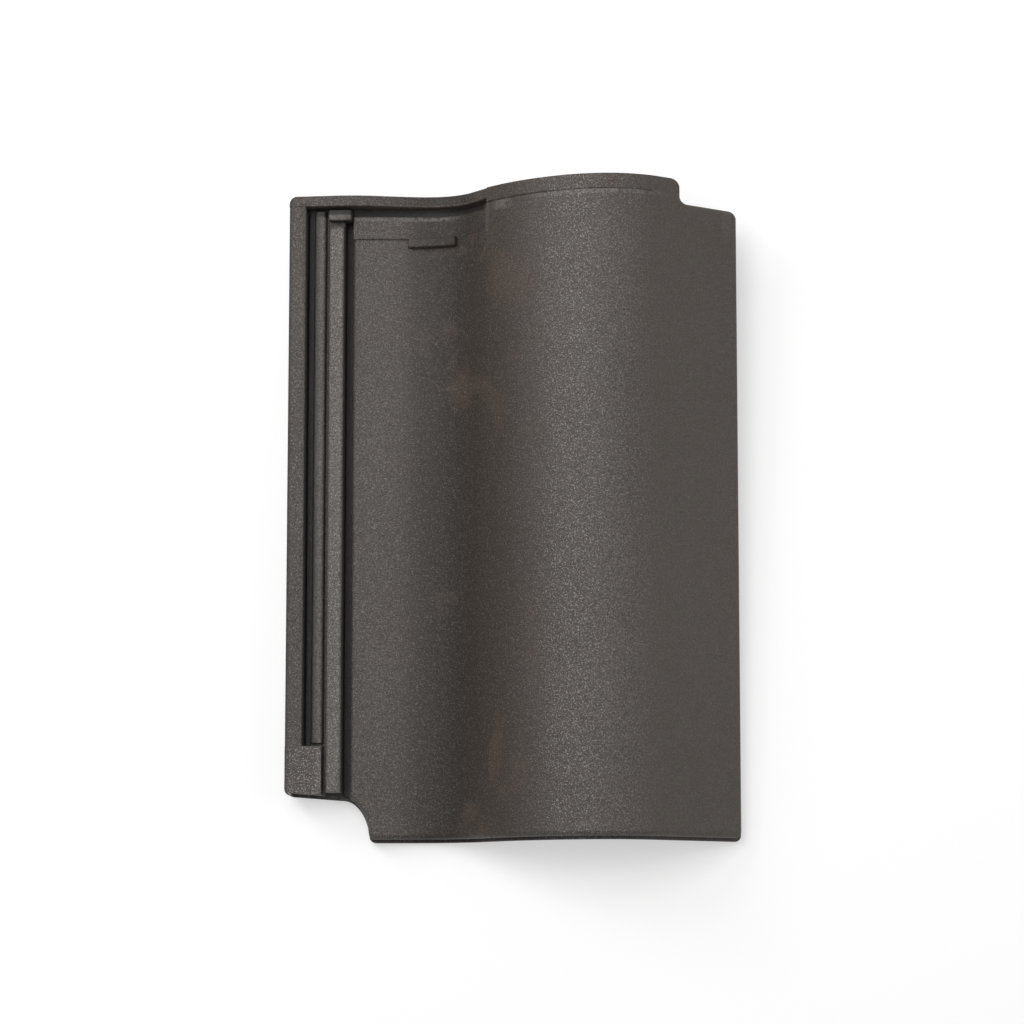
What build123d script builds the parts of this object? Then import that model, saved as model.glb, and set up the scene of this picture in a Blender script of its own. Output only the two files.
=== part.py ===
# Interlocking clay roof tile with a roman roll: one pressed and fired piece.
# X runs from the side lock to the cover roll, Y from the foot to the head, Z up.
# The tile is drawn flat, with the underside of its pan on Z = 0, then laid down as it rests on a floor.
from build123d import *
import math
import os

os.makedirs("parts", exist_ok=True)

# Overall sizes of the tile, and how far it overlaps its neighbour to the right
tile_width = 260.0
tile_length = 376.0
clay_thickness = 12.0
side_overlap = 50.0

# Cross-section of the upper face, from the pan over the roll
trough_x = 76.0
trough_radius = 42.0
pan_fall_angle = 3.0
flank_angle = 52.0
crest_from_right = 75.0
crest_radius = 68.0
crest_angle = 19.0
cover_radius = 52.0
cover_angle = 37.0

# Side lock along the left edge
outer_rib_width = 9.6
outer_rib_top = 19.5
wall_draft = 1.2
deep_channel_floor = 8.0
strip_left = 15.2
strip_right = 21.0
strip_top = 16.6
narrow_groove_floor = 13.0
middle_rib_left = 23.9
middle_rib_right = 32.2
middle_rib_top = 21.0
deep_groove_floor = 6.5
pan_left = 37.2
groove_draft = 0.7

# Cover flap along the right edge, and the cover rib under the roll
pan_clearance = 1.8
cover_rib_height = 4.5
cover_rib_gap = 0.8
cover_rib_draft = 2.5
cover_rib_end_gap = 4.0

# Head of the tile: rim, head groove, seat band, block and lug
rim_width = 6.4
rim_trough_x = 83.5
rim_trough_top = 15.0
rim_trough_radius = 30.0
rim_flank_angle = 50.0
rim_shoulder_x = 34.0
rim_shoulder_top = 21.6
head_groove_width = 5.2
head_groove_floor = 8.0
lock_groove_width = 2.2
band_reach = 25.0
band_drop = 2.5
band_rise_left = 1.0
band_end_x = 116.0
band_corner = 4.0
block_length = 6.4
block_top = 21.6
saddle_length = 3.6
saddle_top = 16.0
lug_left = 69.5
lug_right = 96.5
lug_rise = 3.6
lug_length = 5.2

# Low bar that carries the rim on over the head of the roll
bar_rise = 0.7
bar_width = 8.6
bar_corner = 6.0
bar_side_width = 11.0
bar_side_reach = 18.0

# Outline: pad, corner notches and rounded corners
pad_far = 54.8
pad_drop = 0.8
pad_ramp = 10.0
pad_corner = 3.0
cross_groove_width = 1.8
foot_notch_side = 26.7
foot_notch_bend_x = 32.0
foot_notch_bend_y = 24.2
foot_notch_x = 48.0
middle_rib_end = 28.4
head_notch_from_right = 32.7
head_notch_depth = 13.0
head_corner = 5.0
inner_corner = 3.8
pad_side_corner = 4.0
foot_corner = 3.5

# Foot edge: a parting lip below a rounded upper edge
lip_width = 1.8
lip_height = 5.0

# Nibs that hang on the batten
nib_depth = 20.0
nib_near = 20.0
nib_far = 34.0
nib_width = 22.0
first_nib_x = 56.0
second_nib_x = 96.0
nib_root = 12.4
nib_slope = 3.5

# Rounded edges
rib_round = 1.8
groove_round = 1.0
pan_edge_round = 2.4
side_edge_round = 2.5
arris_round = 3.0
small_round = 1.0
bar_round = 0.6
nib_round = 2.0

# Sines and cosines of the named angles
sin_fall = math.sin(math.radians(pan_fall_angle))
cos_fall = math.cos(math.radians(pan_fall_angle))
sin_flank = math.sin(math.radians(flank_angle))
cos_flank = math.cos(math.radians(flank_angle))
sin_crest = math.sin(math.radians(crest_angle))
cos_crest = math.cos(math.radians(crest_angle))
sin_cover = math.sin(math.radians(cover_angle))
cos_cover = math.cos(math.radians(cover_angle))
sin_rim = math.sin(math.radians(rim_flank_angle))
cos_rim = math.cos(math.radians(rim_flank_angle))

# Where the neighbour to the right begins, and the crest and the notch at the head
cover_width = tile_width - side_overlap
crest_x = tile_width - crest_from_right
head_notch_x = tile_width - head_notch_from_right
bar_side_x = head_notch_x - bar_side_width

# The shoulder arc fills the width left between the trough arc and the crest arc
shoulder_span = crest_x - trough_x - trough_radius * sin_flank - crest_radius * sin_crest
shoulder_radius = shoulder_span / (sin_flank - sin_crest)
pan_top = clay_thickness
crest_top = (
    pan_top
    + trough_radius * (1 - cos_flank)
    + shoulder_radius * (cos_crest - cos_flank)
    + crest_radius * (1 - cos_crest)
)

# Where the straight of the cover begins and where it ends at the right edge
cover_start_x = crest_x + cover_radius * sin_cover
cover_start_top = crest_top - cover_radius * (1 - cos_cover)
edge_top = cover_start_top - (tile_width - cover_start_x) * sin_cover / cos_cover
pan_start_x = trough_x - trough_radius * sin_fall
pan_start_top = pan_top + trough_radius * (1 - cos_fall)
pan_left_top = pan_start_top + (pan_start_x - pan_left) * sin_fall / cos_fall
neighbour_pan_top = pan_left_top - (side_overlap - pan_left) * sin_fall / cos_fall
edge_bottom = neighbour_pan_top + pan_clearance
under_drop = clay_thickness / cos_cover
root_overlap = 3.0
root_depth = clay_thickness / 2
lip_depth = clay_thickness - lip_height

# The cover rib hangs between the walls of the neighbour's outer channel
cover_rib_left = cover_width + outer_rib_width + cover_rib_gap + wall_draft / 2
cover_rib_right = cover_width + strip_left - cover_rib_gap - wall_draft / 2
cover_rib_tip = deep_channel_floor + cover_rib_height
cover_rib_top = cover_start_top - (cover_rib_left - cover_start_x) * sin_cover / cos_cover - under_drop
cover_rib_foot = pad_far + cover_rib_end_gap
cover_rib_length = tile_length - head_notch_depth - cover_rib_foot

# The floor touches the round foot of the pan, the foot of the cover flap and the right nib
under_radius = trough_radius + clay_thickness
flap_run = tile_width - trough_x
flap_fall = under_radius - edge_bottom
side_angle = math.asin(under_radius / math.hypot(flap_run, flap_fall)) - math.atan(flap_fall / flap_run)
floor_rise_x = math.tan(side_angle)
pan_touch_x = trough_x + under_radius * math.sin(side_angle)
pan_touch_top = under_radius * (1 - math.cos(side_angle))
nib_right = second_nib_x + nib_width / 2
nib_touch_y = tile_length - nib_far + nib_round
floor_fall_y = (nib_depth + pan_touch_top + floor_rise_x * (nib_right - pan_touch_x)) / nib_touch_y
head_angle = math.atan(floor_fall_y * math.cos(side_angle))

# The block begins at the lock's part of the head groove, and the saddle at the block
block_near = rim_width + lock_groove_width
block_far = block_near + block_length
saddle_far = block_far + saddle_length

# The rim's upper line: from the lock down to its own trough and up the flank of the roll
rim_flank_x = rim_trough_x + rim_trough_radius * sin_rim
rim_flank_top = rim_trough_top + rim_trough_radius * (1 - cos_rim)
rim_end_top = rim_flank_top + (band_end_x - rim_flank_x) * sin_rim / cos_rim

# Plan outline of the tile, with its notches and rounded corners
with BuildSketch(Plane.XY) as outline:
    with BuildLine():
        notch_curve = EllipticalCenterArc(
            (foot_notch_bend_x, 0),
            foot_notch_x - foot_notch_bend_x,
            foot_notch_bend_y,
            start_angle=0,
            arc_size=90,
        )
        Polyline(
            (foot_notch_bend_x, foot_notch_bend_y),
            (0, foot_notch_side),
            (0, tile_length),
            (head_notch_x, tile_length),
            (head_notch_x, tile_length - head_notch_depth),
            (tile_width, tile_length - head_notch_depth),
            (tile_width, 0),
            (foot_notch_x, 0),
        )
    make_face()
    inner = outline.vertices().filter_by(
        lambda v: abs(v.X - head_notch_x) < 0.1 and abs(v.Y - tile_length + head_notch_depth) < 0.1
    )
    fillet(inner, inner_corner)
    fillet(outline.vertices().filter_by(lambda v: v.X < 0.1 and v.Y < tile_length / 2), pad_side_corner)
    fillet(outline.vertices().filter_by(lambda v: v.X < 0.1 and v.Y > tile_length / 2), head_corner)
    notch_points = outline.vertices().filter_by(lambda v: abs(v.X - head_notch_x) < 0.1)
    fillet(notch_points.sort_by(Axis.Y)[-1], head_corner)
    right_side = outline.vertices().filter_by(lambda v: v.X > tile_width - 0.1)
    fillet(right_side.sort_by(Axis.Y)[-1], head_corner)
    fillet(outline.vertices().filter_by(lambda v: v.X > foot_notch_x - 0.1 and abs(v.Y) < 0.1), foot_corner)

# Block of that outline, which trims the tile
with BuildPart() as outline_block:
    with BuildSketch(Plane.XY.offset(-nib_depth)) as block_outline:
        add(outline.sketch)
    extrude(amount=nib_depth + crest_top + clay_thickness)

# Space above the seat band at the head, open to the flank of the roll
with BuildPart() as band_space:
    with BuildSketch(Plane.XZ.offset(-tile_length)) as space_face:
        with BuildLine():
            band_start = (pan_left, pan_left_top + band_rise_left)
            band_low = (rim_trough_x, rim_trough_top - band_drop)
            band_fall = Spline(band_start, band_low, tangents=[(1, 0), (1, 0)])
            band_arc = JernArc(band_low, (1, 0), rim_trough_radius, rim_flank_angle)
            band_end = (band_end_x, rim_end_top - band_drop)
            Polyline(band_arc @ 1, band_end, (band_end_x, crest_top), (pan_left, crest_top), band_start)
        make_face()
    extrude(amount=band_reach)
    fillet(band_space.edges().filter_by(Axis.Z).sort_by(Axis.X)[-2:].sort_by(Axis.Y)[0], band_corner)

# Seat band above the pan, below the head groove
with BuildPart() as seat_band:
    with BuildSketch(Plane.XZ.offset(-tile_length)) as band_face:
        with BuildLine():
            add(band_fall)
            Polyline(band_low, (rim_trough_x, deep_groove_floor), (pan_left, deep_groove_floor), band_start)
        make_face()
    extrude(amount=band_reach)
    band_top = seat_band.faces().sort_by(Axis.Z)[-1]
    fillet(band_top.edges().sort_by(Axis.Y)[0], small_round / 2)

# Rim along the head, from the outer rib round the corner and up the flank
with BuildPart() as head_rim:
    with BuildSketch(Plane.XZ.offset(-tile_length)) as rim_face:
        with BuildLine():
            rim_shoulder = (rim_shoulder_x, rim_shoulder_top)
            rim_low = (rim_trough_x, rim_trough_top)
            rim_rise = Spline((0, outer_rib_top), rim_shoulder, tangents=[(1, 0), (1, 0)])
            rim_fall = Spline(rim_shoulder, rim_low, tangents=[(1, 0), (1, 0)])
            rim_arc = JernArc(rim_low, (1, 0), rim_trough_radius, rim_flank_angle)
            Polyline(
                rim_arc @ 1,
                (band_end_x, rim_end_top),
                (band_end_x, rim_end_top - clay_thickness),
                (rim_flank_x, rim_flank_top - root_depth),
                (rim_trough_x, root_depth),
                (0, root_depth),
                (0, outer_rib_top),
            )
        make_face()
    extrude(amount=rim_width)
    rim_top_faces = head_rim.faces().filter_by(lambda f: f.normal_at().Z > 0.2)
    fillet(rim_top_faces.edges().filter_by(lambda e: e.bounding_box().size.Y < 0.01), small_round)

# Block over the head end of the middle rib
with BuildPart() as head_block:
    with BuildSketch(Plane.XY.offset(deep_groove_floor - root_overlap)) as block_plan:
        with Locations((middle_rib_left - groove_draft, tile_length - block_near)):
            Rectangle(pan_left - middle_rib_left, block_far - block_near, align=(Align.MIN, Align.MAX))
    extrude(amount=block_top - deep_groove_floor + root_overlap)
    fillet(head_block.edges().filter_by(Axis.Z), small_round)
    fillet(head_block.faces().sort_by(Axis.Z)[-1].edges(), small_round)

# Lug on the pan just below the seat band
with BuildPart() as seat_lug:
    with BuildSketch(Plane.XZ.offset(band_reach - tile_length)) as lug_face:
        with BuildLine():
            lug_centre = (trough_x, pan_top + trough_radius)
            lug_radius = trough_radius - lug_rise
            lug_start_angle = math.degrees(math.asin((lug_left - trough_x) / lug_radius))
            lug_end_angle = math.degrees(math.asin((lug_right - trough_x) / lug_radius))
            lug_sweep = lug_end_angle - lug_start_angle
            lug_arc = CenterArc(lug_centre, lug_radius, lug_start_angle - 90, lug_sweep)
            root_arc = CenterArc(lug_centre, trough_radius + root_overlap, lug_start_angle - 90, lug_sweep)
            Line(lug_arc @ 0, root_arc @ 0)
            Line(lug_arc @ 1, root_arc @ 1)
        make_face()
    extrude(amount=lug_length)
    lug_front = seat_lug.faces().sort_by(Axis.Y)[0]
    fillet(lug_front.edges().group_by(SortBy.LENGTH)[0], small_round)
    lug_front = seat_lug.faces().sort_by(Axis.Y)[0]
    fillet(lug_front.edges().filter_by(lambda e: e.center().Z > pan_top + lug_rise / 2), small_round)

# Low bar over the head of the roll, shaped like the roll but standing a little above it
with BuildPart() as roll_bar:
    with BuildSketch(Plane.XZ.offset(-tile_length)) as bar_face:
        with BuildLine():
            bar_trough = JernArc((trough_x, pan_top + bar_rise), (1, 0), trough_radius - bar_rise, flank_angle)
            bar_shoulder = JernArc(
                bar_trough @ 1, bar_trough % 1, shoulder_radius + bar_rise, crest_angle - flank_angle
            )
            bar_crest = JernArc(bar_shoulder @ 1, bar_shoulder % 1, crest_radius + bar_rise, -crest_angle)
            bar_cover = JernArc(bar_crest @ 1, (1, 0), cover_radius + bar_rise, -cover_angle)
            bar_slope_end = (tile_width, edge_top + bar_rise / cos_cover)
            bar_slope = Line(bar_cover @ 1, bar_slope_end)
            root_trough = JernArc((trough_x, root_depth), (1, 0), trough_radius + root_depth, flank_angle)
            root_shoulder = JernArc(
                root_trough @ 1, root_trough % 1, shoulder_radius - root_depth, crest_angle - flank_angle
            )
            root_crest = JernArc(root_shoulder @ 1, root_shoulder % 1, crest_radius - root_depth, -crest_angle)
            root_cover = JernArc(root_crest @ 1, (1, 0), cover_radius - root_depth, -cover_angle)
            root_slope_end = (tile_width, edge_top - root_depth / cos_cover)
            root_slope = Line(root_cover @ 1, root_slope_end)
            Line(bar_slope_end, root_slope_end)
            Line(bar_trough @ 0, root_trough @ 0)
        make_face()
    extrude(amount=bar_side_reach)
    with BuildSketch(Plane.XY) as bar_inside:
        Rectangle(bar_side_x, tile_length - bar_width, align=(Align.MIN, Align.MIN))
        fillet(bar_inside.vertices().group_by(Axis.Y)[-1].sort_by(Axis.X)[-1], bar_corner)
        Rectangle(band_end_x, tile_length, align=(Align.MIN, Align.MIN))
        with Locations((head_notch_x, 0)):
            Rectangle(tile_width, tile_length, align=(Align.MIN, Align.MIN))
    extrude(amount=crest_top + clay_thickness, mode=Mode.SUBTRACT)
    bar_top_faces = roll_bar.faces().filter_by(lambda f: f.normal_at().Z > 0.2)
    bar_edges = bar_top_faces.edges().filter_by(
        lambda e: abs(e.bounding_box().max.Y - tile_length + bar_width) < 0.01
    )
    fillet(bar_edges, bar_round)
    slope_start = (cover_start_x, 0, cover_start_top)
    slope_plane = Plane(origin=slope_start, x_dir=(0, 1, 0), z_dir=(cos_cover, 0, -sin_cover))
    with BuildSketch(slope_plane) as bar_fade:
        with BuildLine():
            Polyline(
                (tile_length - bar_side_reach, 0),
                (tile_length - bar_width, bar_rise),
                (tile_length - bar_width, root_depth),
                (tile_length - 2 * bar_side_reach, root_depth),
                (tile_length - 2 * bar_side_reach, 0),
                (tile_length - bar_side_reach, 0),
            )
        make_face()
    extrude(amount=tile_width - cover_start_x, both=True, mode=Mode.SUBTRACT)

# Space above the parting lip at the foot, within the depth that the edge is set back
with BuildPart() as lip_space:
    with BuildSketch(Plane.XZ) as above_lip:
        with BuildLine():
            lip_trough = JernArc((trough_x, lip_height), (1, 0), trough_radius + lip_depth, flank_angle)
            lip_shoulder = JernArc(
                lip_trough @ 1, lip_trough % 1, shoulder_radius - lip_depth, crest_angle - flank_angle
            )
            lip_crest = JernArc(lip_shoulder @ 1, lip_shoulder % 1, crest_radius - lip_depth, -crest_angle)
            lip_cover = JernArc(lip_crest @ 1, (1, 0), cover_radius - lip_depth, -cover_angle)
            lip_edge_top = edge_top - lip_depth / cos_cover
            lip_slope = Line(lip_cover @ 1, (tile_width, lip_edge_top))
            Polyline(
                (tile_width, lip_edge_top),
                (tile_width, crest_top + root_overlap),
                (pad_side_corner, crest_top + root_overlap),
                (pad_side_corner, lip_height),
                (trough_x, lip_height),
            )
        make_face()
    extrude(amount=-foot_notch_side - lip_width)
    with BuildSketch(Plane.XY) as set_back:
        with Locations((0, lip_width)):
            add(outline.sketch)
    extrude(amount=crest_top + clay_thickness, mode=Mode.SUBTRACT)

with BuildPart() as flat_tile:
    # Cross-section swept straight along the tile
    with BuildSketch(Plane.XZ) as section:
        with BuildLine():
            # upper face from the pan to the right edge
            pan_line = Line((pan_left, pan_left_top), (pan_start_x, pan_start_top))
            trough = JernArc(pan_line @ 1, (cos_fall, -sin_fall), trough_radius, pan_fall_angle + flank_angle)
            shoulder = JernArc(trough @ 1, trough % 1, shoulder_radius, crest_angle - flank_angle)
            crest = JernArc(shoulder @ 1, shoulder % 1, crest_radius, -crest_angle)
            cover = JernArc(crest @ 1, (1, 0), cover_radius, -cover_angle)
            slope = Line(cover @ 1, (tile_width, edge_top))
            edge = Line(slope @ 1, (tile_width, edge_bottom))
            # underside from the pan to the right edge
            under_trough = JernArc((trough_x, 0), (1, 0), trough_radius + clay_thickness, flank_angle)
            under_shoulder = JernArc(
                under_trough @ 1, under_trough % 1, shoulder_radius - clay_thickness, crest_angle - flank_angle
            )
            under_crest = JernArc(
                under_shoulder @ 1, under_shoulder % 1, crest_radius - clay_thickness, -crest_angle
            )
            under_cover = JernArc(under_crest @ 1, (1, 0), cover_radius - clay_thickness, -cover_angle)
            cover_end = under_cover @ 1
            flap_x = cover_end.X + (cover_end.Y - edge_bottom) * cos_cover / sin_cover
            under_slope = Line(cover_end, (flap_x, edge_bottom))
            flap_face = Line(under_slope @ 1, edge @ 1)
            under_pan = Line((0, 0), (trough_x, 0))
            # lock from the left edge to the pan
            Polyline(
                (0, 0),
                (0, outer_rib_top),
                (outer_rib_width, outer_rib_top),
                (outer_rib_width + wall_draft, deep_channel_floor),
                (strip_left - wall_draft, deep_channel_floor),
                (strip_left, strip_top),
                (strip_right, strip_top),
                (strip_right + groove_draft, narrow_groove_floor),
                (middle_rib_left - groove_draft, narrow_groove_floor),
                (middle_rib_left, middle_rib_top),
                (middle_rib_right, middle_rib_top),
                (middle_rib_right + groove_draft, deep_groove_floor),
                (pan_left - groove_draft, deep_groove_floor),
                (pan_left, pan_left_top),
            )
        make_face()
        # rounded ribs, groove bottoms and edges
        left_points = section.vertices().filter_by(lambda v: v.X < pan_left - 0.1)
        right_points = section.vertices().filter_by(lambda v: v.X > tile_width - 0.1)
        fillet(left_points.filter_by(lambda v: v.Y > narrow_groove_floor + 1), rib_round)
        fillet(left_points.filter_by(lambda v: 1 < v.Y < narrow_groove_floor + 1), groove_round)
        fillet(section.vertices().filter_by(lambda v: abs(v.X - pan_left) < 0.1), pan_edge_round)
        fillet(right_points.filter_by(lambda v: v.Y > edge_bottom + 1), side_edge_round)
    extrude(amount=-tile_length)

    # Pad that closes the outer channel at the foot, with a ramp down to it and a groove across its head
    with BuildSketch(Plane.XY) as pad:
        Rectangle(strip_right, pad_far, align=(Align.MIN, Align.MIN))
        fillet(pad.vertices().group_by(Axis.Y)[-1].sort_by(Axis.X)[-1], pad_corner)
    extrude(amount=outer_rib_top)
    with BuildSketch(Plane.YZ) as pad_space:
        with BuildLine():
            Polyline(
                (0, outer_rib_top - pad_drop),
                (pad_far, outer_rib_top - pad_drop),
                (pad_far + pad_ramp, outer_rib_top),
                (pad_far + pad_ramp, outer_rib_top + root_overlap),
                (0, outer_rib_top + root_overlap),
                (0, outer_rib_top - pad_drop),
            )
        make_face()
    extrude(amount=strip_right, mode=Mode.SUBTRACT)
    with BuildSketch(Plane.XY.offset(narrow_groove_floor)) as cross_groove:
        with Locations((outer_rib_width + wall_draft + pad_corner, pad_far)):
            Rectangle(middle_rib_left, cross_groove_width, align=(Align.MIN, Align.MIN))
        with Locations((middle_rib_left - groove_draft, pad_far)):
            Rectangle(middle_rib_left, cross_groove_width, align=(Align.MIN, Align.MIN), mode=Mode.SUBTRACT)
    extrude(amount=outer_rib_top, mode=Mode.SUBTRACT)

    # The middle rib stops short of the notch, above a low ledge
    rib_end_width = middle_rib_right - middle_rib_left + 2 * groove_draft
    with BuildSketch(Plane.XY.offset(lip_height)) as rib_end:
        with Locations((middle_rib_left - groove_draft, 0)):
            Rectangle(rib_end_width, middle_rib_end, align=(Align.MIN, Align.MIN))
    extrude(amount=middle_rib_top, mode=Mode.SUBTRACT)

    # Trim to the plan outline, then set the foot edge back above its lip and round its arris
    add(outline_block.part, mode=Mode.INTERSECT)
    add(lip_space.part, mode=Mode.SUBTRACT)
    upper_faces = flat_tile.faces().filter_by(lambda f: f.normal_at().Z > 0.2 and f.center().X > pan_left)
    long_faces = upper_faces.filter_by(lambda f: f.bounding_box().size.Y > tile_length / 2)
    foot_edges = long_faces.edges().filter_by(lambda e: abs(e.bounding_box().max.Y - lip_width) < 0.01)
    fillet(foot_edges, arris_round)

    # Head zone: the seat band stands above the pan and is cut into the flank of the roll
    add(band_space.part, mode=Mode.SUBTRACT)
    add(seat_band.part)

    # The lock ribs end at the rim, and the rim, its bar over the roll and the lug are added
    with BuildSketch(Plane.XY.offset(deep_channel_floor)) as rim_seat:
        with Locations((0, tile_length)):
            Rectangle(pan_left, rim_width, align=(Align.MIN, Align.MAX))
    extrude(amount=crest_top, mode=Mode.SUBTRACT)
    add(head_rim.part)
    add(roll_bar.part)
    add(seat_lug.part)

    # Saddle below the block, and the block over the head end of the middle rib
    with BuildSketch(Plane.XY.offset(saddle_top)) as saddle:
        with Locations((strip_right + groove_draft, tile_length - rim_width)):
            Rectangle(pan_left - strip_right, saddle_far - rim_width, align=(Align.MIN, Align.MAX))
    extrude(amount=clay_thickness, mode=Mode.SUBTRACT)
    add(head_block.part)

    # Groove that runs below the rim, from the outer channel into the flank
    groove_near_y = tile_length - rim_width
    with BuildSketch(Plane.XZ.offset(-groove_near_y)) as head_groove:
        with BuildLine():
            floor_arc = JernArc((rim_trough_x, head_groove_floor), (1, 0), rim_trough_radius, rim_flank_angle)
            groove_drop = rim_trough_top - head_groove_floor
            groove_end = (band_end_x, rim_end_top - groove_drop)
            Polyline(
                floor_arc @ 1,
                groove_end,
                (band_end_x, crest_top),
                (pan_left - groove_draft, crest_top),
                (pan_left - groove_draft, head_groove_floor),
                (rim_trough_x, head_groove_floor),
            )
        make_face()
    extrude(amount=head_groove_width, mode=Mode.SUBTRACT)
    with BuildSketch(Plane.XY.offset(deep_channel_floor)) as lock_groove:
        with Locations((outer_rib_width, tile_length - rim_width)):
            Rectangle(pan_left - outer_rib_width, lock_groove_width, align=(Align.MIN, Align.MAX))
    extrude(amount=crest_top, mode=Mode.SUBTRACT)

    # Trim the rim and its bar to the outline
    add(outline_block.part, mode=Mode.INTERSECT)

    # Cover rib under the roll, over the neighbour's outer channel
    with BuildSketch(Plane.XZ.offset(-cover_rib_foot)) as cover_rib:
        with BuildLine():
            Polyline(
                (cover_rib_left - cover_rib_draft, cover_rib_top + root_overlap),
                (cover_rib_left, cover_rib_tip),
                (cover_rib_right, cover_rib_tip),
                (cover_rib_right + cover_rib_draft, cover_rib_top + root_overlap),
                (cover_rib_left - cover_rib_draft, cover_rib_top + root_overlap),
            )
        make_face()
        fillet(cover_rib.vertices().group_by(Axis.Y)[0], small_round)
    extrude(amount=-cover_rib_length)

    # Nibs under the pan, square to the batten on the foot side and sloped on the head side
    for nib_x in (first_nib_x, second_nib_x):
        with BuildSketch(Plane.YZ.offset(nib_x - nib_width / 2)) as nib:
            with BuildLine():
                Polyline(
                    (tile_length - nib_far, nib_root),
                    (tile_length - nib_far, -nib_depth),
                    (tile_length - nib_near - nib_slope, -nib_depth),
                    (tile_length - nib_near, nib_root),
                    (tile_length - nib_far, nib_root),
                )
            make_face()
            fillet(nib.vertices().group_by(Axis.Y)[0], nib_round)
        extrude(amount=nib_width)

# The tile lies unheld: its right side sinks to the cover flap and its head stands on a nib
lay_sideways = Location((0, 0, 0), (0, math.degrees(side_angle), 0))
lay_down = Location((0, 0, 0), (math.degrees(head_angle), 0, 0)) * lay_sideways
with BuildPart() as leaning_tile:
    with Locations(lay_down):
        add(flat_tile.part)
lean_box = leaning_tile.part.bounding_box()
rest_offset = Location((-lean_box.center().X, -lean_box.center().Y, -lean_box.min.Z))
with BuildPart() as roof_tile:
    with Locations(rest_offset):
        add(leaning_tile.part)

# Places that the record states, in millimetres in the shared frame
placed = rest_offset * lay_down
batten_y = tile_length - nib_far
named_points = {
    "left nib batten face": (first_nib_x, batten_y, -nib_depth / 2),
    "right nib batten face": (second_nib_x, batten_y, -nib_depth / 2),
    "batten seat": (first_nib_x, batten_y - nib_depth, 0),
    "origin of the flat tile": (0, 0, 0),
    "foot of the pan": (pan_touch_x, 0, pan_touch_top),
    "foot of the cover flap": (tile_width, 0, edge_bottom),
    "right nib on the floor": (nib_right, nib_touch_y, -nib_depth),
}
for name, place in named_points.items():
    print(name, [round(value, 3) for value in (placed * Location(place)).position])
print("side angle", round(math.degrees(side_angle), 4), "head angle", round(math.degrees(head_angle), 4))
print("centre of mass", [round(value, 2) for value in roof_tile.part.center(CenterOf.MASS)])
print("crest top", round(crest_top, 2), "flap edge", round(flap_x, 2), "volume", round(roof_tile.part.volume))

roof_tile.part.label = "roof_tile"
export_step(roof_tile.part, "parts/roof_tile.step")
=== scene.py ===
import math

import bmesh
import bpy
from mathutils import Matrix, Vector


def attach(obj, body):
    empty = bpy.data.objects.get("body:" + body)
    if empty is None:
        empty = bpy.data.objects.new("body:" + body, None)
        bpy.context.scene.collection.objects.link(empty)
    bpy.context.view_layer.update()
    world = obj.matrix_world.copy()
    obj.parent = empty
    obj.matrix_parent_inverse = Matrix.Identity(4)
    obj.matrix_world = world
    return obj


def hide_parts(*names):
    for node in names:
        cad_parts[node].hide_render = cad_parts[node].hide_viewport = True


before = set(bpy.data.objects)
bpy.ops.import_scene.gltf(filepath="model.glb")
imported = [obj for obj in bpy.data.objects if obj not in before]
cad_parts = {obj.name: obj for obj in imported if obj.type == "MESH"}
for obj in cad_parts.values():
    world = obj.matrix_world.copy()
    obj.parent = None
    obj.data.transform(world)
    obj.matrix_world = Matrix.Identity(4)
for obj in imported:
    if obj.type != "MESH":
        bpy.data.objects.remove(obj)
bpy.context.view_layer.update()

# How the flat tile was laid down: its right side sinks and its head rises, from this corner
side_lean = math.radians(4.7506)
head_lean = math.radians(3.7112)
flat_corner = Vector((-0.130606, -0.186266, 0.006470))
lay_down = Matrix.Rotation(head_lean, 3, "X") @ Matrix.Rotation(side_lean, 3, "Y")
across_way, along_way, up_way = (lay_down.col[n].copy() for n in range(3))
millimetres = 1000.0

# Places across the flat tile in millimetres, from the lock's outer edge
left_round = 1.7
outer_rib_side = 9.2
channel_side = 15.4
strip_side = 21.0
rib_left = 23.6
rib_right = 32.4
lock_side = 36.2
trough_left = 70.0
fold_left = 76.0
light_lip_end = 96.0
fold_right = 105.0
band_end = 115.2
bar_left = 121.0
trough_right = 143.0
light_bar_left = 146.0
crest_left = 151.0
crest_right = 180.0
slope_left = 204.0
light_bar_right = 212.0
right_edge = 260.0

# Places along it in millimetres, from the foot
foot_round = 3.0
pad_head = 54.0
stripe_foot = 348.0
band_foot = 351.4
block_foot = 361.4
groove_foot = 364.3
bar_foot = 364.9
rim_foot = 369.4

# Heights in millimetres, above the underside of the pan
channel_floor = 5.4
pan_floor = 6.0
deep_height = 12.2
side_height = 13.0
groove_height = 14.2
strip_height = 15.6
outer_rib_height = 16.0
channel_rim = 18.0
rib_height = 19.4

# Colours of the slip and its tones, and of the shade and highlights painted into it
slip_brown = (0.097, 0.084, 0.075)
slip_grey = (0.113, 0.098, 0.088)
# Painted shade on the right slope, with a browner tone
slope_shade_brown = (0.092, 0.078, 0.066)
# Painted shade in the trough and along its fold
trough_shade_brown = (0.049, 0.038, 0.029)
fold_shade_brown = (0.026, 0.020, 0.014)
side_brown = (0.026, 0.022, 0.019)
# Painted shade in the lock's grooves and the head groove, and a painted shadow below the block
groove_shade_black = (0.017, 0.014, 0.011)
# Painted shade at the foot and the seat band's far end; the low rim and the outer rib darker too
painted_shade_brown = (0.034, 0.029, 0.025)
fired_red = (0.100, 0.066, 0.050)
# A painted highlight, reddish, on the rim's lower arris
rim_highlight_clay = (0.190, 0.150, 0.130)
rib_clay = (0.175, 0.162, 0.150)
# Painted highlights on the arrises of the bar, the head groove and the seat band
highlight_clay = (0.200, 0.185, 0.170)
# Painted highlights on the arrises of the lock's ribs
arris_highlight_clay = (0.240, 0.230, 0.215)
grain_shade = (0.50, 0.49, 0.48)
# Painted glints: a fine sparkle of highlight
glint_grey = (0.320, 0.305, 0.290)
pit_brown = (0.040, 0.034, 0.030)


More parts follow.
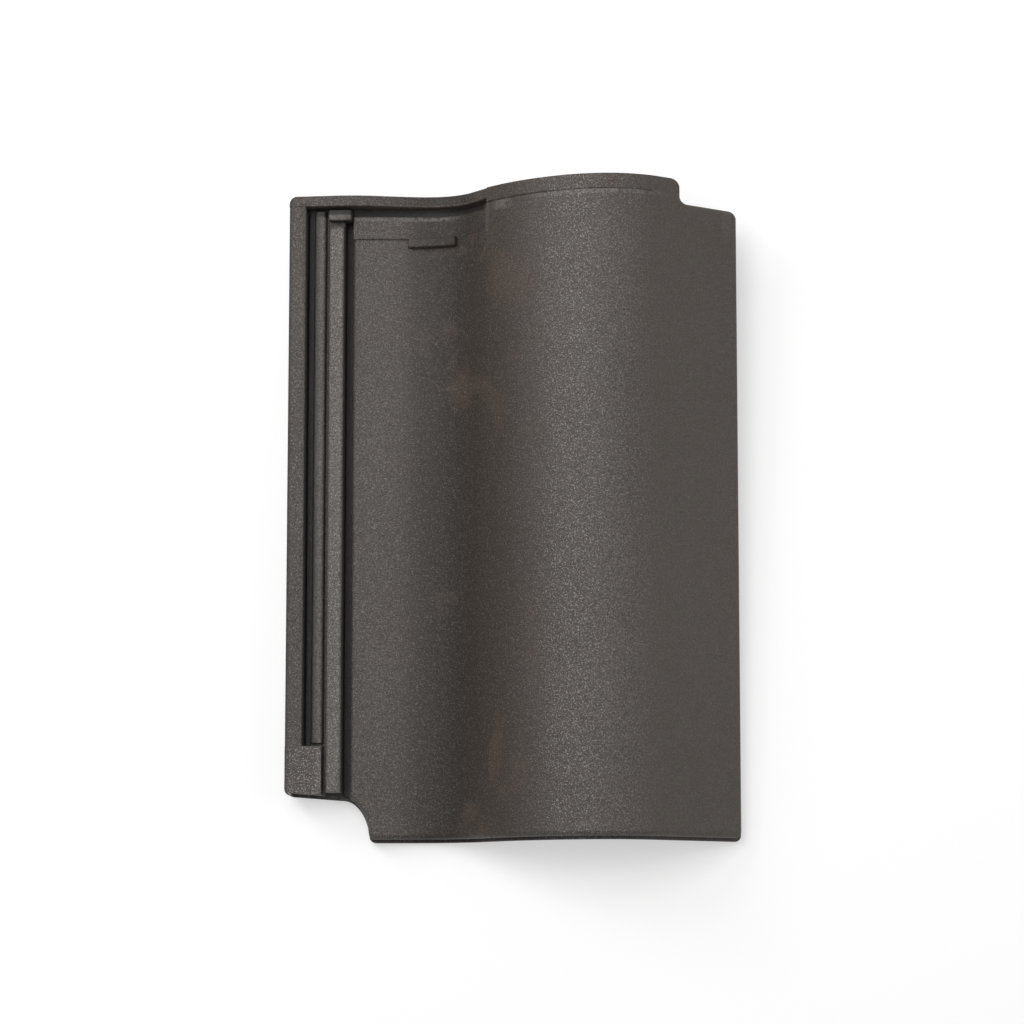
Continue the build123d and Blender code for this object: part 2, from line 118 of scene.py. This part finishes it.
class Value:
    """A number that varies over the surface, written in plain arithmetic."""

    def __init__(self, paint, socket):
        self.paint = paint
        self.socket = socket

    def _math(self, operation, first, second):
        return self.paint.node("ShaderNodeMath", {"operation": operation}, {0: first, 1: second})

    def __add__(self, other):
        return self._math("ADD", self, other)

    def __sub__(self, other):
        return self._math("SUBTRACT", self, other)

    def __mul__(self, other):
        return self._math("MULTIPLY", self, other)

    def __rsub__(self, other):
        return self._math("SUBTRACT", other, self)

    __radd__ = __add__
    __rmul__ = __mul__

    def most(self, other):
        """The larger of two values."""
        return self._math("MAXIMUM", self, other)

    def above(self, edge, fade):
        """Goes from 0 to 1 as the value climbs through the edge."""
        settings = {"interpolation_type": "SMOOTHSTEP", "clamp": True}
        inputs = {"Value": self, "From Min": edge - fade / 2, "From Max": edge + fade / 2}
        return self.paint.node("ShaderNodeMapRange", settings, inputs)

    def below(self, edge, fade):
        """Goes from 1 to 0 as the value climbs through the edge."""
        return 1 - self.above(edge, fade)

    def between(self, first, last, fade, last_fade=None):
        """1 between two edges and 0 outside them. The last edge may fade over a width of its own."""
        return self.above(first, fade) * self.below(last, last_fade or fade)


class Paint:
    """One material and the nodes that make it."""

    def __init__(self, name):
        self.material = bpy.data.materials.new(name)
        self.material.use_nodes = True
        self.tree = self.material.node_tree
        self.tree.nodes.clear()
        self.output = self.tree.nodes.new("ShaderNodeOutputMaterial")

    def node(self, kind, settings=None, inputs=None, out=0):
        made = self.tree.nodes.new(kind)
        for name, setting in (settings or {}).items():
            setattr(made, name, setting)
        for name, value in (inputs or {}).items():
            self.put(made.inputs[name], value)
        return Value(self, made.outputs[out])

    def put(self, socket, value):
        """Links a value, or sets a number, a vector or a colour. A colour is a tuple."""
        if isinstance(value, Value):
            self.tree.links.new(value.socket, socket)
        elif isinstance(value, tuple):
            socket.default_value = (*value, 1.0)
        else:
            socket.default_value = value

    def reach(self, where, way):
        """How far a vector reaches along a direction."""
        return self.node("ShaderNodeVectorMath", {"operation": "DOT_PRODUCT"}, {0: where, 1: way}, "Value")

    def noise(self, where, scale, detail, roughness=0.5, distortion=0.0):
        inputs = {"Vector": where, "Scale": scale, "Detail": detail}
        inputs |= {"Roughness": roughness, "Distortion": distortion}
        return self.node("ShaderNodeTexNoise", {"noise_dimensions": "3D"}, inputs)

    def cells(self, where, scale):
        return self.node("ShaderNodeTexVoronoi", {"feature": "F1"}, {"Vector": where, "Scale": scale})

    def blend(self, mask, first, second, kind="MIX"):
        """Two colours mixed by a mask."""
        settings = {"data_type": "RGBA", "blend_type": kind}
        colour_a, colour_b, colour_result = 6, 7, 2
        inputs = {"Factor": mask, colour_a: first, colour_b: second}
        return self.node("ShaderNodeMix", settings, inputs, colour_result)

    def shade(self, shader):
        self.tree.links.new(shader.socket, self.output.inputs["Surface"])
        return self.material


class Spot:
    """Where a place on the skin lies on the flat tile, in millimetres, and whether it faces up."""

    def __init__(self, paint):
        self.paint = paint
        self.here = paint.node("ShaderNodeTexCoord", out="Object")
        self.across = self.from_corner(across_way)
        self.along = self.from_corner(along_way)
        self.height = self.from_corner(up_way)
        facing = paint.node("ShaderNodeTexCoord", out="Normal")
        self.upward = paint.reach(facing, up_way).above(0.12, fade=0.2)
        self.rim = self.along.above(rim_foot, fade=1.2)
        self.below_rim = 1 - self.rim
        self.lock = self.across.below(lock_side, fade=0.8)

    def from_corner(self, way):
        """Distance along a direction, from the flat tile's corner."""
        return self.paint.reach(self.here, way * millimetres) - flat_corner.dot(way) * millimetres


def rib_top(spot):
    """The top of the lock's middle rib."""
    top = spot.across.between(rib_left, rib_right, fade=1.2, last_fade=0.8)
    return top * spot.height.above(rib_height, fade=1.6) * spot.below_rim


def strip(spot):
    """The low strip between the outer channel and the narrow groove."""
    top = spot.across.between(channel_side + 2.1, strip_side, fade=3.0, last_fade=0.6)
    return top * spot.height.above(strip_height, fade=0.8) * spot.below_rim


def outer_rib(spot):
    top = spot.across.below(outer_rib_side, fade=0.6) * spot.height.above(outer_rib_height, fade=2.0)
    return top * spot.along.above(pad_head + 10.0, fade=3.0) * spot.below_rim


def outer_arris(spot):
    """The outer rib's arris beside the channel, where a highlight is painted."""
    line = spot.across.between(outer_rib_side - 0.6, outer_rib_side + 0.8, fade=0.8, last_fade=0.6)
    line = line * spot.height.above(outer_rib_height + 1.6, fade=1.0)
    return line * spot.along.above(pad_head + 6.0, fade=4.0) * spot.below_rim


def pad(spot):
    """The pad that closes the outer channel at the foot."""
    corner = spot.across.below(strip_side, fade=1.0) * spot.along.below(pad_head, fade=2.0)
    return corner * spot.height.above(outer_rib_height, fade=2.0)


def lock_groove_shade(spot):
    """Painted shade in the insides of the lock's channels, darkest low down in the wide ones."""
    outer_channel = spot.across.between(outer_rib_side, channel_side, fade=0.6)
    outer_channel = outer_channel * spot.along.above(pad_head + 0.4, fade=0.6)
    wide = outer_channel + spot.across.above(rib_right - 0.5, fade=0.6) * spot.lock
    narrow = spot.across.between(strip_side - 0.2, rib_left + 0.6, fade=0.4)
    inside = spot.height.above(channel_floor, fade=0.8) * spot.below_rim
    deep = wide * inside * spot.height.below(deep_height, fade=0.8)
    shallow = (wide + narrow) * inside * spot.height.below(groove_height, fade=0.8)
    return deep * 0.5 + shallow * 0.42


def head_groove_shade(spot):
    """Painted shade in the groove below the rim, from the lock to the end of the seat band."""
    stretch = spot.across.between(outer_rib_side + 0.8, band_end - 0.8, fade=1.0, last_fade=2.0)
    stretch = stretch * spot.along.above(groove_foot, fade=1.6) * spot.below_rim
    return stretch * spot.height.above(pan_floor, fade=1.0) * spot.upward


def shadow_below_block(spot):
    """Painted shadow on the lock just below the block over the middle rib."""
    stretch = spot.along.between(block_foot - 5.4, block_foot, fade=1.6)
    return stretch * spot.across.above(strip_side, fade=0.8) * spot.lock


def shaded_sides(spot):
    """The outer channel's side at the strip, and the tile's left side."""
    channel_lip = spot.across.between(channel_side - 0.8, channel_side + 2.0, fade=1.0, last_fade=3.2)
    channel_lip = channel_lip * spot.height.below(channel_rim, fade=1.0)
    left_side = spot.across.below(left_round, fade=2.2) * spot.height.above(side_height, fade=5.0)
    return channel_lip * 0.55 + left_side * 0.6


def darkened_places(spot):
    """Painted shade at the far end of the seat band and along the foot; the low stretch of the rim and the
    outer rib are darkened too.
    """
    band = spot.along.above(band_foot, fade=0.8) * spot.upward * spot.below_rim
    band = band * spot.across.between(lock_side + 0.4, band_end, fade=1.0, last_fade=1.6)
    far_end = band * spot.across.above(band_end - 11.2, fade=14.0)
    foot_edge = spot.along.below(foot_round, fade=6.0) * spot.upward
    low_rim = spot.rim * spot.upward * spot.across.below(band_end - 3.2, fade=6.0)
    return far_end * 0.45 + foot_edge * 0.3 + low_rim * 0.3 + outer_rib(spot) * 0.2


def bar_highlights(spot):
    """Painted highlights on the bar over the roll: its arris on the crest, and the stretch where it starts.
    """
    arris = spot.along.between(bar_foot, bar_foot + 2.5, fade=1.6, last_fade=1.2)
    arris = arris * spot.across.between(light_bar_left, light_bar_right, fade=30.0, last_fade=26.0)
    start = spot.along.between(bar_foot - 2.9, bar_foot + 3.1, fade=3.0)
    start = start * spot.across.between(bar_left, bar_left + 9.0, fade=4.0, last_fade=5.0)
    return arris * 0.95 + start * 0.6


def highlight_lines(spot, coarse):
    """Painted highlights on the arrises of the bar, the head groove and the seat band, and a light stripe
    near the right edge.
    """
    groove_lip = spot.along.between(groove_foot - 2.3, groove_foot - 0.1, fade=1.4, last_fade=1.0)
    groove_lip = groove_lip * spot.across.between(lock_side + 1.8, light_lip_end, fade=2.0, last_fade=16.0)
    band_arris = spot.along.above(band_foot - 0.8, fade=1.2) * spot.below_rim
    band_arris = band_arris * spot.across.between(band_end, band_end + 2.2, fade=1.2, last_fade=1.4)
    stripe = spot.across.between(right_edge - 8.0, right_edge - 3.5, fade=2.5)
    stripe = stripe * spot.along.above(stripe_foot, fade=8.0)
    broken = (bar_highlights(spot) + groove_lip * 0.7) * coarse.above(0.46, fade=0.2)
    return (broken + band_arris * 0.2 + stripe * 0.12) * spot.upward


def rim_arris(spot):
    """The rim's lower arris over the pan, where a highlight is painted."""
    line = spot.along.between(rim_foot - 0.2, rim_foot + 1.2, fade=0.7, last_fade=0.9)
    return line * spot.across.between(outer_rib_side + 2.8, band_end - 2.2, fade=2.0, last_fade=3.0)


def slip_colour(paint, spot, clouds, grain, coarse):
    """Cloudy brown-grey, with painted shade in the trough, on the right slope and in the grooves, painted
    highlights and glints on the arrises and tops, and a lighter tone on the rib and strip tops.
    """
    patches = paint.noise(spot.here, scale=24.0, detail=5.0, roughness=0.62, distortion=0.5)
    glints = paint.noise(spot.here, scale=1300.0, detail=1.0)
    grit = paint.cells(spot.here, scale=260.0)
    trough = spot.across.between(trough_left, trough_right, fade=34.0, last_fade=44.0) * spot.upward
    fold = spot.across.between(fold_left, fold_right, fade=26.0, last_fade=18.0) * spot.upward
    crest = spot.across.between(crest_left, crest_right, fade=16.0, last_fade=22.0) * spot.upward
    right_slope = spot.across.above(slope_left, fade=24.0)
    rib = rib_top(spot)
    # Painted highlight on the middle rib's right arris, broken up by noise
    rib_arris = spot.across.above(rib_right - 2.8, fade=1.6) * rib * coarse.above(0.5, fade=0.16)
    reddened = patches.above(0.60, fade=0.14) * (0.2 + trough * 0.3 + spot.rim * 0.35)
    # Painted highlight on the rim's lower arris, broken up by noise
    rim_highlight = rim_arris(spot) * (0.3 + coarse.above(0.5, fade=0.3) * 0.3)

    base = paint.blend(clouds.above(0.5, fade=0.4), slip_brown, slip_grey)
    # Painted shade on the right slope, with a browner tone
    base = paint.blend(right_slope * 0.8, base, slope_shade_brown)
    # Painted shade in the trough and along its fold
    base = paint.blend(trough * 0.95, base, trough_shade_brown)
    base = paint.blend(fold * 0.8, base, fold_shade_brown)
    base = paint.blend(reddened, base, fired_red)
    # A lighter tone on the middle rib's top and on the strip
    base = paint.blend(rib * 0.6 + strip(spot) * 0.4, base, rib_clay)
    # Painted highlights on the arrises of the lock's ribs
    base = paint.blend(rib_arris * 0.5 + outer_arris(spot) * 0.4, base, arris_highlight_clay)
    # Painted shade at the foot and the seat band's far end; the low rim and the outer rib darker too
    base = paint.blend(darkened_places(spot), base, painted_shade_brown)
    # Painted highlights on the arrises of the bar, the head groove and the seat band, and a light stripe near
    # the right edge
    base = paint.blend(highlight_lines(spot, coarse), base, highlight_clay)
    base = paint.blend(rim_highlight, base, rim_highlight_clay)

    # Painted glints, strongest on the pan, the rib top, the pad and the crest; grain and glints are weaker in
    # the trough and on the right slope
    grain_and_glint_weight = 1 - trough * 0.5 - right_slope * 0.6
    glinting = grain_and_glint_weight * 0.4 + rib * 0.35 + pad(spot) * 0.6 + crest * 0.35
    # Painted shade in the lock's grooves and the head groove, and a painted shadow below the block
    dark = lock_groove_shade(spot).most(head_groove_shade(spot) * 0.97).most(shadow_below_block(spot) * 0.5)
    base = paint.blend(grain.above(0.5, fade=0.26) * grain_and_glint_weight, base, grain_shade, "MULTIPLY")
    base = paint.blend(glints.above(0.62, fade=0.10) * glinting, base, glint_grey)
    base = paint.blend(grit.below(0.10, fade=0.10) * 0.4, base, pit_brown)
    base = paint.blend(dark, base, groove_shade_black)
    return paint.blend(shaded_sides(spot), base, side_brown)


def clay_slip():
    """Dark brown-grey slip fired on pressed clay: cloudy and finely grained, with painted shade and painted
    highlights in its colour.
    """
    paint = Paint("dark_clay")
    spot = Spot(paint)
    clouds = paint.noise(spot.here, scale=11.0, detail=4.0, roughness=0.55)
    grain = paint.noise(spot.here, scale=1050.0, detail=2.0, roughness=0.7)
    coarse = paint.noise(spot.here, scale=330.0, detail=3.0, roughness=0.65)
    relief = {
        "Strength": 0.8,
        "Distance": 0.0009,
        "Height": grain * 0.45 + coarse * 0.6 + clouds * 0.6,
        "Normal": paint.node("ShaderNodeBevel", {"samples": 6}, {"Radius": 0.0010}),
    }
    finish = {
        "Base Color": slip_colour(paint, spot, clouds, grain, coarse),
        "Roughness": grain * 0.2 + 0.46,
        "Normal": paint.node("ShaderNodeBump", inputs=relief),
        "Specular IOR Level": 0.45,
    }
    return paint.shade(paint.node("ShaderNodeBsdfPrincipled", inputs=finish))


def welded_tile(node):
    """The tile as one smooth skin, welded along the borders of its faces, with its arrises left sharp."""
    weld = 0.00002
    arris_angle = math.radians(32.0)
    shape = bmesh.new()
    shape.from_mesh(node.data)
    bmesh.ops.remove_doubles(shape, verts=shape.verts, dist=weld)
    bmesh.ops.dissolve_degenerate(shape, edges=shape.edges, dist=weld)
    skin = bpy.data.meshes.new("roof_tile_skin")
    shape.to_mesh(skin)
    shape.free()
    if "custom_normal" in skin.attributes:
        skin.attributes.remove(skin.attributes["custom_normal"])
    skin.materials.clear()
    skin.materials.append(clay_slip())
    skin.shade_smooth()
    skin.set_sharp_from_angle(angle=arris_angle)
    tile = bpy.data.objects.new("roof_tile_skin", skin)
    tile.matrix_world = node.matrix_world.copy()
    bpy.context.scene.collection.objects.link(tile)
    return tile


tile = welded_tile(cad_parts["roof_tile"])
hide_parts("roof_tile")
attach(tile, "root")


def white_floor():
    """Plain white ground: white to the camera where the light is full, and still shaded by the tile."""
    paint = Paint("white_ground")
    seen = paint.node("ShaderNodeLightPath", out="Is Camera Ray")
    mirrored = paint.node("ShaderNodeLightPath", out="Is Glossy Ray")
    chalk = {"Base Color": (0.60, 0.60, 0.60), "Roughness": 0.9, "Specular IOR Level": 0.0}
    glow = {"Color": (1.0, 1.0, 1.0), "Strength": seen.most(mirrored) * 0.50}
    surfaces = {
        0: paint.node("ShaderNodeBsdfPrincipled", inputs=chalk),
        1: paint.node("ShaderNodeEmission", inputs=glow),
    }
    return paint.shade(paint.node("ShaderNodeAddShader", inputs=surfaces))


floor_side = 12.0
bpy.ops.mesh.primitive_plane_add(size=floor_side, location=(0.0, 0.0, 0.0))
ground = bpy.context.object
ground.name = "ground"
ground.data.materials.append(white_floor())

sky_level = 0.26
world = bpy.data.worlds.new("studio")
bpy.context.scene.world = world
world.use_nodes = True
sky = world.node_tree.nodes["Background"]
sky.inputs["Color"].default_value = (1.0, 1.0, 1.0, 1.0)
sky.inputs["Strength"].default_value = sky_level

lamp_aim = Vector((0.0, 0.0, 0.05))


def soft_lamp(name, place, width, height, power):
    """A soft box that faces the tile."""
    lamp = bpy.data.lights.new(name, "AREA")
    lamp.shape = "RECTANGLE"
    lamp.size = width
    lamp.size_y = height
    lamp.energy = power
    box = bpy.data.objects.new(name, lamp)
    box.location = place
    box.rotation_euler = (lamp_aim - Vector(place)).to_track_quat("-Z", "Y").to_euler()
    bpy.context.scene.collection.objects.link(box)


soft_lamp("overhead_box", (-0.22, 0.30, 1.75), width=1.0, height=1.0, power=15.0)
soft_lamp("left_box", (-0.95, 0.75, 1.10), width=0.5, height=0.8, power=6.5)
soft_lamp("right_box", (1.20, -0.10, 1.00), width=0.7, height=1.2, power=3.0)

# Camera, from the tile's outline in the photograph
camera_tilt = math.radians(13.4998)
camera_turn = math.radians(31.6511)
camera_roll = math.radians(0.4829)
camera_distance = 1.9
camera_target = Vector((0.00102, 0.0013, 0.030))
focal_length = 116.236
sensor_width = 36.0
nearest_seen = 0.01


def photo_camera():
    """A camera that looks down on the tile from the right of its foot, rolled a little."""
    lens = bpy.data.cameras.new("camera")
    lens.lens = focal_length
    lens.sensor_width = sensor_width
    lens.clip_start = nearest_seen
    rightwards = math.sin(camera_turn) * math.sin(camera_tilt)
    footwards = math.cos(camera_turn) * math.sin(camera_tilt)
    away = Vector((rightwards, -footwards, math.cos(camera_tilt)))
    up = (Vector((0.0, 1.0, 0.0)) - away * away.y).normalized()
    right = up.cross(away)
    rolled_right = right * math.cos(camera_roll) + up * math.sin(camera_roll)
    rolled_up = up * math.cos(camera_roll) - right * math.sin(camera_roll)
    turned = Matrix((rolled_right, rolled_up, away)).transposed().to_4x4()
    camera = bpy.data.objects.new("camera", lens)
    camera.matrix_world = Matrix.Translation(camera_target + away * camera_distance) @ turned
    bpy.context.scene.collection.objects.link(camera)
    return camera


bpy.context.scene.camera = photo_camera()
bpy.context.scene.view_settings.view_transform = "Standard"
